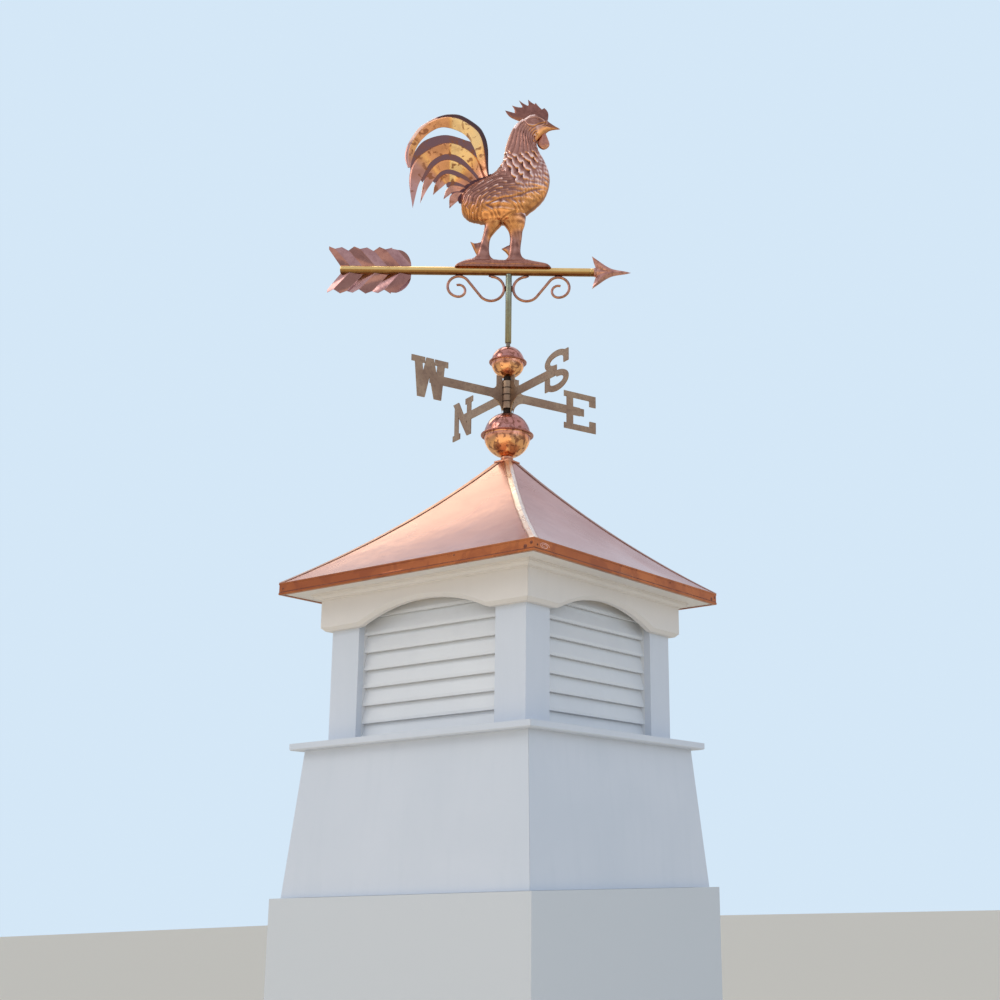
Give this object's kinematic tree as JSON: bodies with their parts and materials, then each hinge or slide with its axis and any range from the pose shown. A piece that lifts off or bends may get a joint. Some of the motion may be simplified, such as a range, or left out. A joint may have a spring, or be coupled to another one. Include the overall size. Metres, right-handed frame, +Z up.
{
  "type": "barn cupola",
  "caption": "Square barn cupola with louvred sides under arched friezes, a flared skirt, a concave copper roof, globes, compass arms and a turning rooster weathervane.",
  "frame": {"origin": "centre of the skirt's bottom rim", "axes": "+Z up along the mast, -Y out of the front face, +X to the right of the front face"},
  "size_m": [0.8224, 0.8224, 2.254],
  "materials": {
    "white_board": "painted smooth, satin",
    "white_slat": "painted smooth, satin",
    "timber": "sawn, unfinished",
    "plywood": "sanded, unfinished",
    "roof_copper": "new sheet copper, soft sheen",
    "steel_rod": "plated rod",
    "globe_copper": "polished, starting to mottle",
    "brass_plate": "dulled plate and tube",
    "arrow_copper": "polished, starting to mottle",
    "rooster_copper": "embossed sheet, starting to mottle"
  },
  "bodies": {
    "cupola": {"skirt_front": "white_board", "skirt_right": "white_board", "skirt_back": "white_board", "skirt_left": "white_board", "sill_boards": "white_board", "corner_post_front_right": "white_board", "corner_post_back_right": "white_board", "corner_post_back_left": "white_board", "corner_post_front_left": "white_board", "corner_studs": "timber", "top_plates": "timber", "louvre_jambs": "white_slat", "louvre_slats_front": "white_slat", "louvre_slats_right": "white_slat", "louvre_slats_back": "white_slat", "louvre_slats_left": "white_slat", "frieze_front": "white_board", "frieze_right": "white_board", "frieze_back": "white_board", "frieze_left": "white_board", "crown_mouldings": "white_board", "soffit_boards": "white_board", "eave_nailers": "timber", "drip_bands": "roof_copper", "roof_panel_front": "roof_copper", "roof_panel_right": "roof_copper", "roof_panel_back": "roof_copper", "roof_panel_left": "roof_copper", "roof_deck": "plywood", "hip_strips": "roof_copper", "roof_cap": "roof_copper", "mast_block": "timber", "mast_rod": "steel_rod", "lower_globe": "globe_copper", "upper_globe": "globe_copper", "hub_sleeve": "brass_plate", "hub_spacer": "brass_plate", "direction_arm_west": "brass_plate", "direction_arm_south": "brass_plate", "direction_arm_east": "brass_plate", "direction_arm_north": "brass_plate"},
    "vane": {"vane_tube": "brass_plate", "arrow_head": "arrow_copper", "arrow_tube": "brass_plate", "arrow_flights": "arrow_copper", "scrollwork": "arrow_copper", "rooster_body": "rooster_copper", "rooster_tail": "rooster_copper", "rooster_comb": "rooster_copper"}
  },
  "joints": [
    {"name": "vane_spin", "type": "hinge", "parent": "cupola", "child": "vane", "pos_m": [0, 0, 1.68], "axis": [0, 0, 1], "continuous": true}
  ]
}
